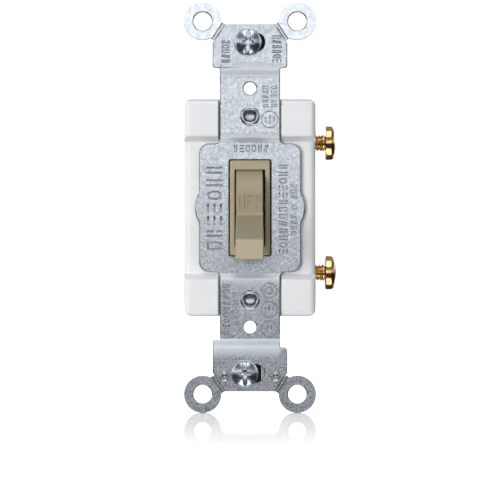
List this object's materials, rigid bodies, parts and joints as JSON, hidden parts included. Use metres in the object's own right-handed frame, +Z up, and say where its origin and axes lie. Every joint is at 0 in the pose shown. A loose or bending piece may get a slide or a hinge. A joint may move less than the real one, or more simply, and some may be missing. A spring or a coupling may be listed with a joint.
{
  "type": "toggle wall switch",
  "caption": "Single-pole toggle wall switch on a stamped steel strap with plaster ears, side screw terminals and a snap-action lever.",
  "frame": {"origin": "centre of the four plaster-ear holes, on the ears' back face, which lies against the wall", "axes": "+X to the right seen from the front, +Y into the wall box, +Z up; the lever points along -Y and is down (off) at rest"},
  "size_m": [0.0386, 0.0451, 0.1032],
  "materials": {
    "zinc_steel": "mottled zinc plate",
    "white_plastic": "moulded, satin",
    "ivory_collar": "moulded, satin",
    "ivory_lever": "moulded, satin",
    "spring_steel": "bright",
    "bronze": "satin",
    "silver": "satin",
    "brass": "rolled sheet",
    "screw_brass": "polished",
    "screw_steel": "bright zinc plate",
    "rivet_steel": "bright zinc plate",
    "fibre": "matt vulcanised fibre"
  },
  "bodies": {
    "switch_body": {"mounting_strap": "zinc_steel", "front_housing": "white_plastic", "rear_housing": "white_plastic", "lever_collar": "ivory_collar", "toggle_spring": "spring_steel", "contact_spring": "spring_steel", "fixed_contact": "silver", "line_terminal": "brass", "load_terminal": "brass", "strap_rivets": "rivet_steel", "grounding_clip": "zinc_steel", "clip_rivets": "rivet_steel"},
    "lever": {"toggle_lever": "ivory_lever"},
    "arm": {"contact_arm": "bronze", "moving_contact": "silver"},
    "top_retainer": {"screw_retainer_top": "fibre"},
    "top_box_screw": {"mounting_screw_top": "screw_steel"},
    "bottom_retainer": {"screw_retainer_bottom": "fibre"},
    "bottom_box_screw": {"mounting_screw_bottom": "screw_steel"},
    "line_screw": {"terminal_screw_top": "screw_brass"},
    "load_screw": {"terminal_screw_bottom": "screw_brass"}
  },
  "joints": [
    {"name": "lever_tilt", "type": "hinge", "parent": "switch_body", "child": "lever", "pos_m": [0, 0.0034, 0], "axis": [-1, 0, 0], "range_deg": [0, 54], "deforming": ["toggle_spring"]},
    {"name": "arm_swing", "type": "hinge", "parent": "switch_body", "child": "arm", "pos_m": [0, 0.0141, -0.0132], "axis": [1, 0, 0], "range_deg": [0, 5.4], "deforming": ["contact_spring"]},
    {"name": "top_retainer_slide", "type": "slide", "parent": "switch_body", "child": "top_retainer", "axis": [1, 0, 0], "range_m": [-0.0013, 0.0023]},
    {"name": "top_screw_turn", "type": "hinge", "parent": "top_retainer", "child": "top_box_screw", "pos_m": [-0.0005, 0, 0.04167], "axis": [0, 1, 0], "continuous": true},
    {"name": "bottom_retainer_slide", "type": "slide", "parent": "switch_body", "child": "bottom_retainer", "axis": [1, 0, 0], "range_m": [-0.0005, 0.0024]},
    {"name": "bottom_screw_turn", "type": "hinge", "parent": "bottom_retainer", "child": "bottom_box_screw", "pos_m": [-0.0013, 0, -0.04167], "axis": [0, 1, 0], "continuous": true},
    {"name": "line_screw_travel", "type": "slide", "parent": "switch_body", "child": "line_screw", "axis": [1, 0, 0], "range_m": [-0.0068, 0]},
    {"name": "load_screw_travel", "type": "slide", "parent": "switch_body", "child": "load_screw", "axis": [1, 0, 0], "range_m": [-0.0068, 0]}
  ],
  "couplings": [
    {"joint": "arm_swing", "follows": "lever_tilt", "ratio": 0.1}
  ]
}
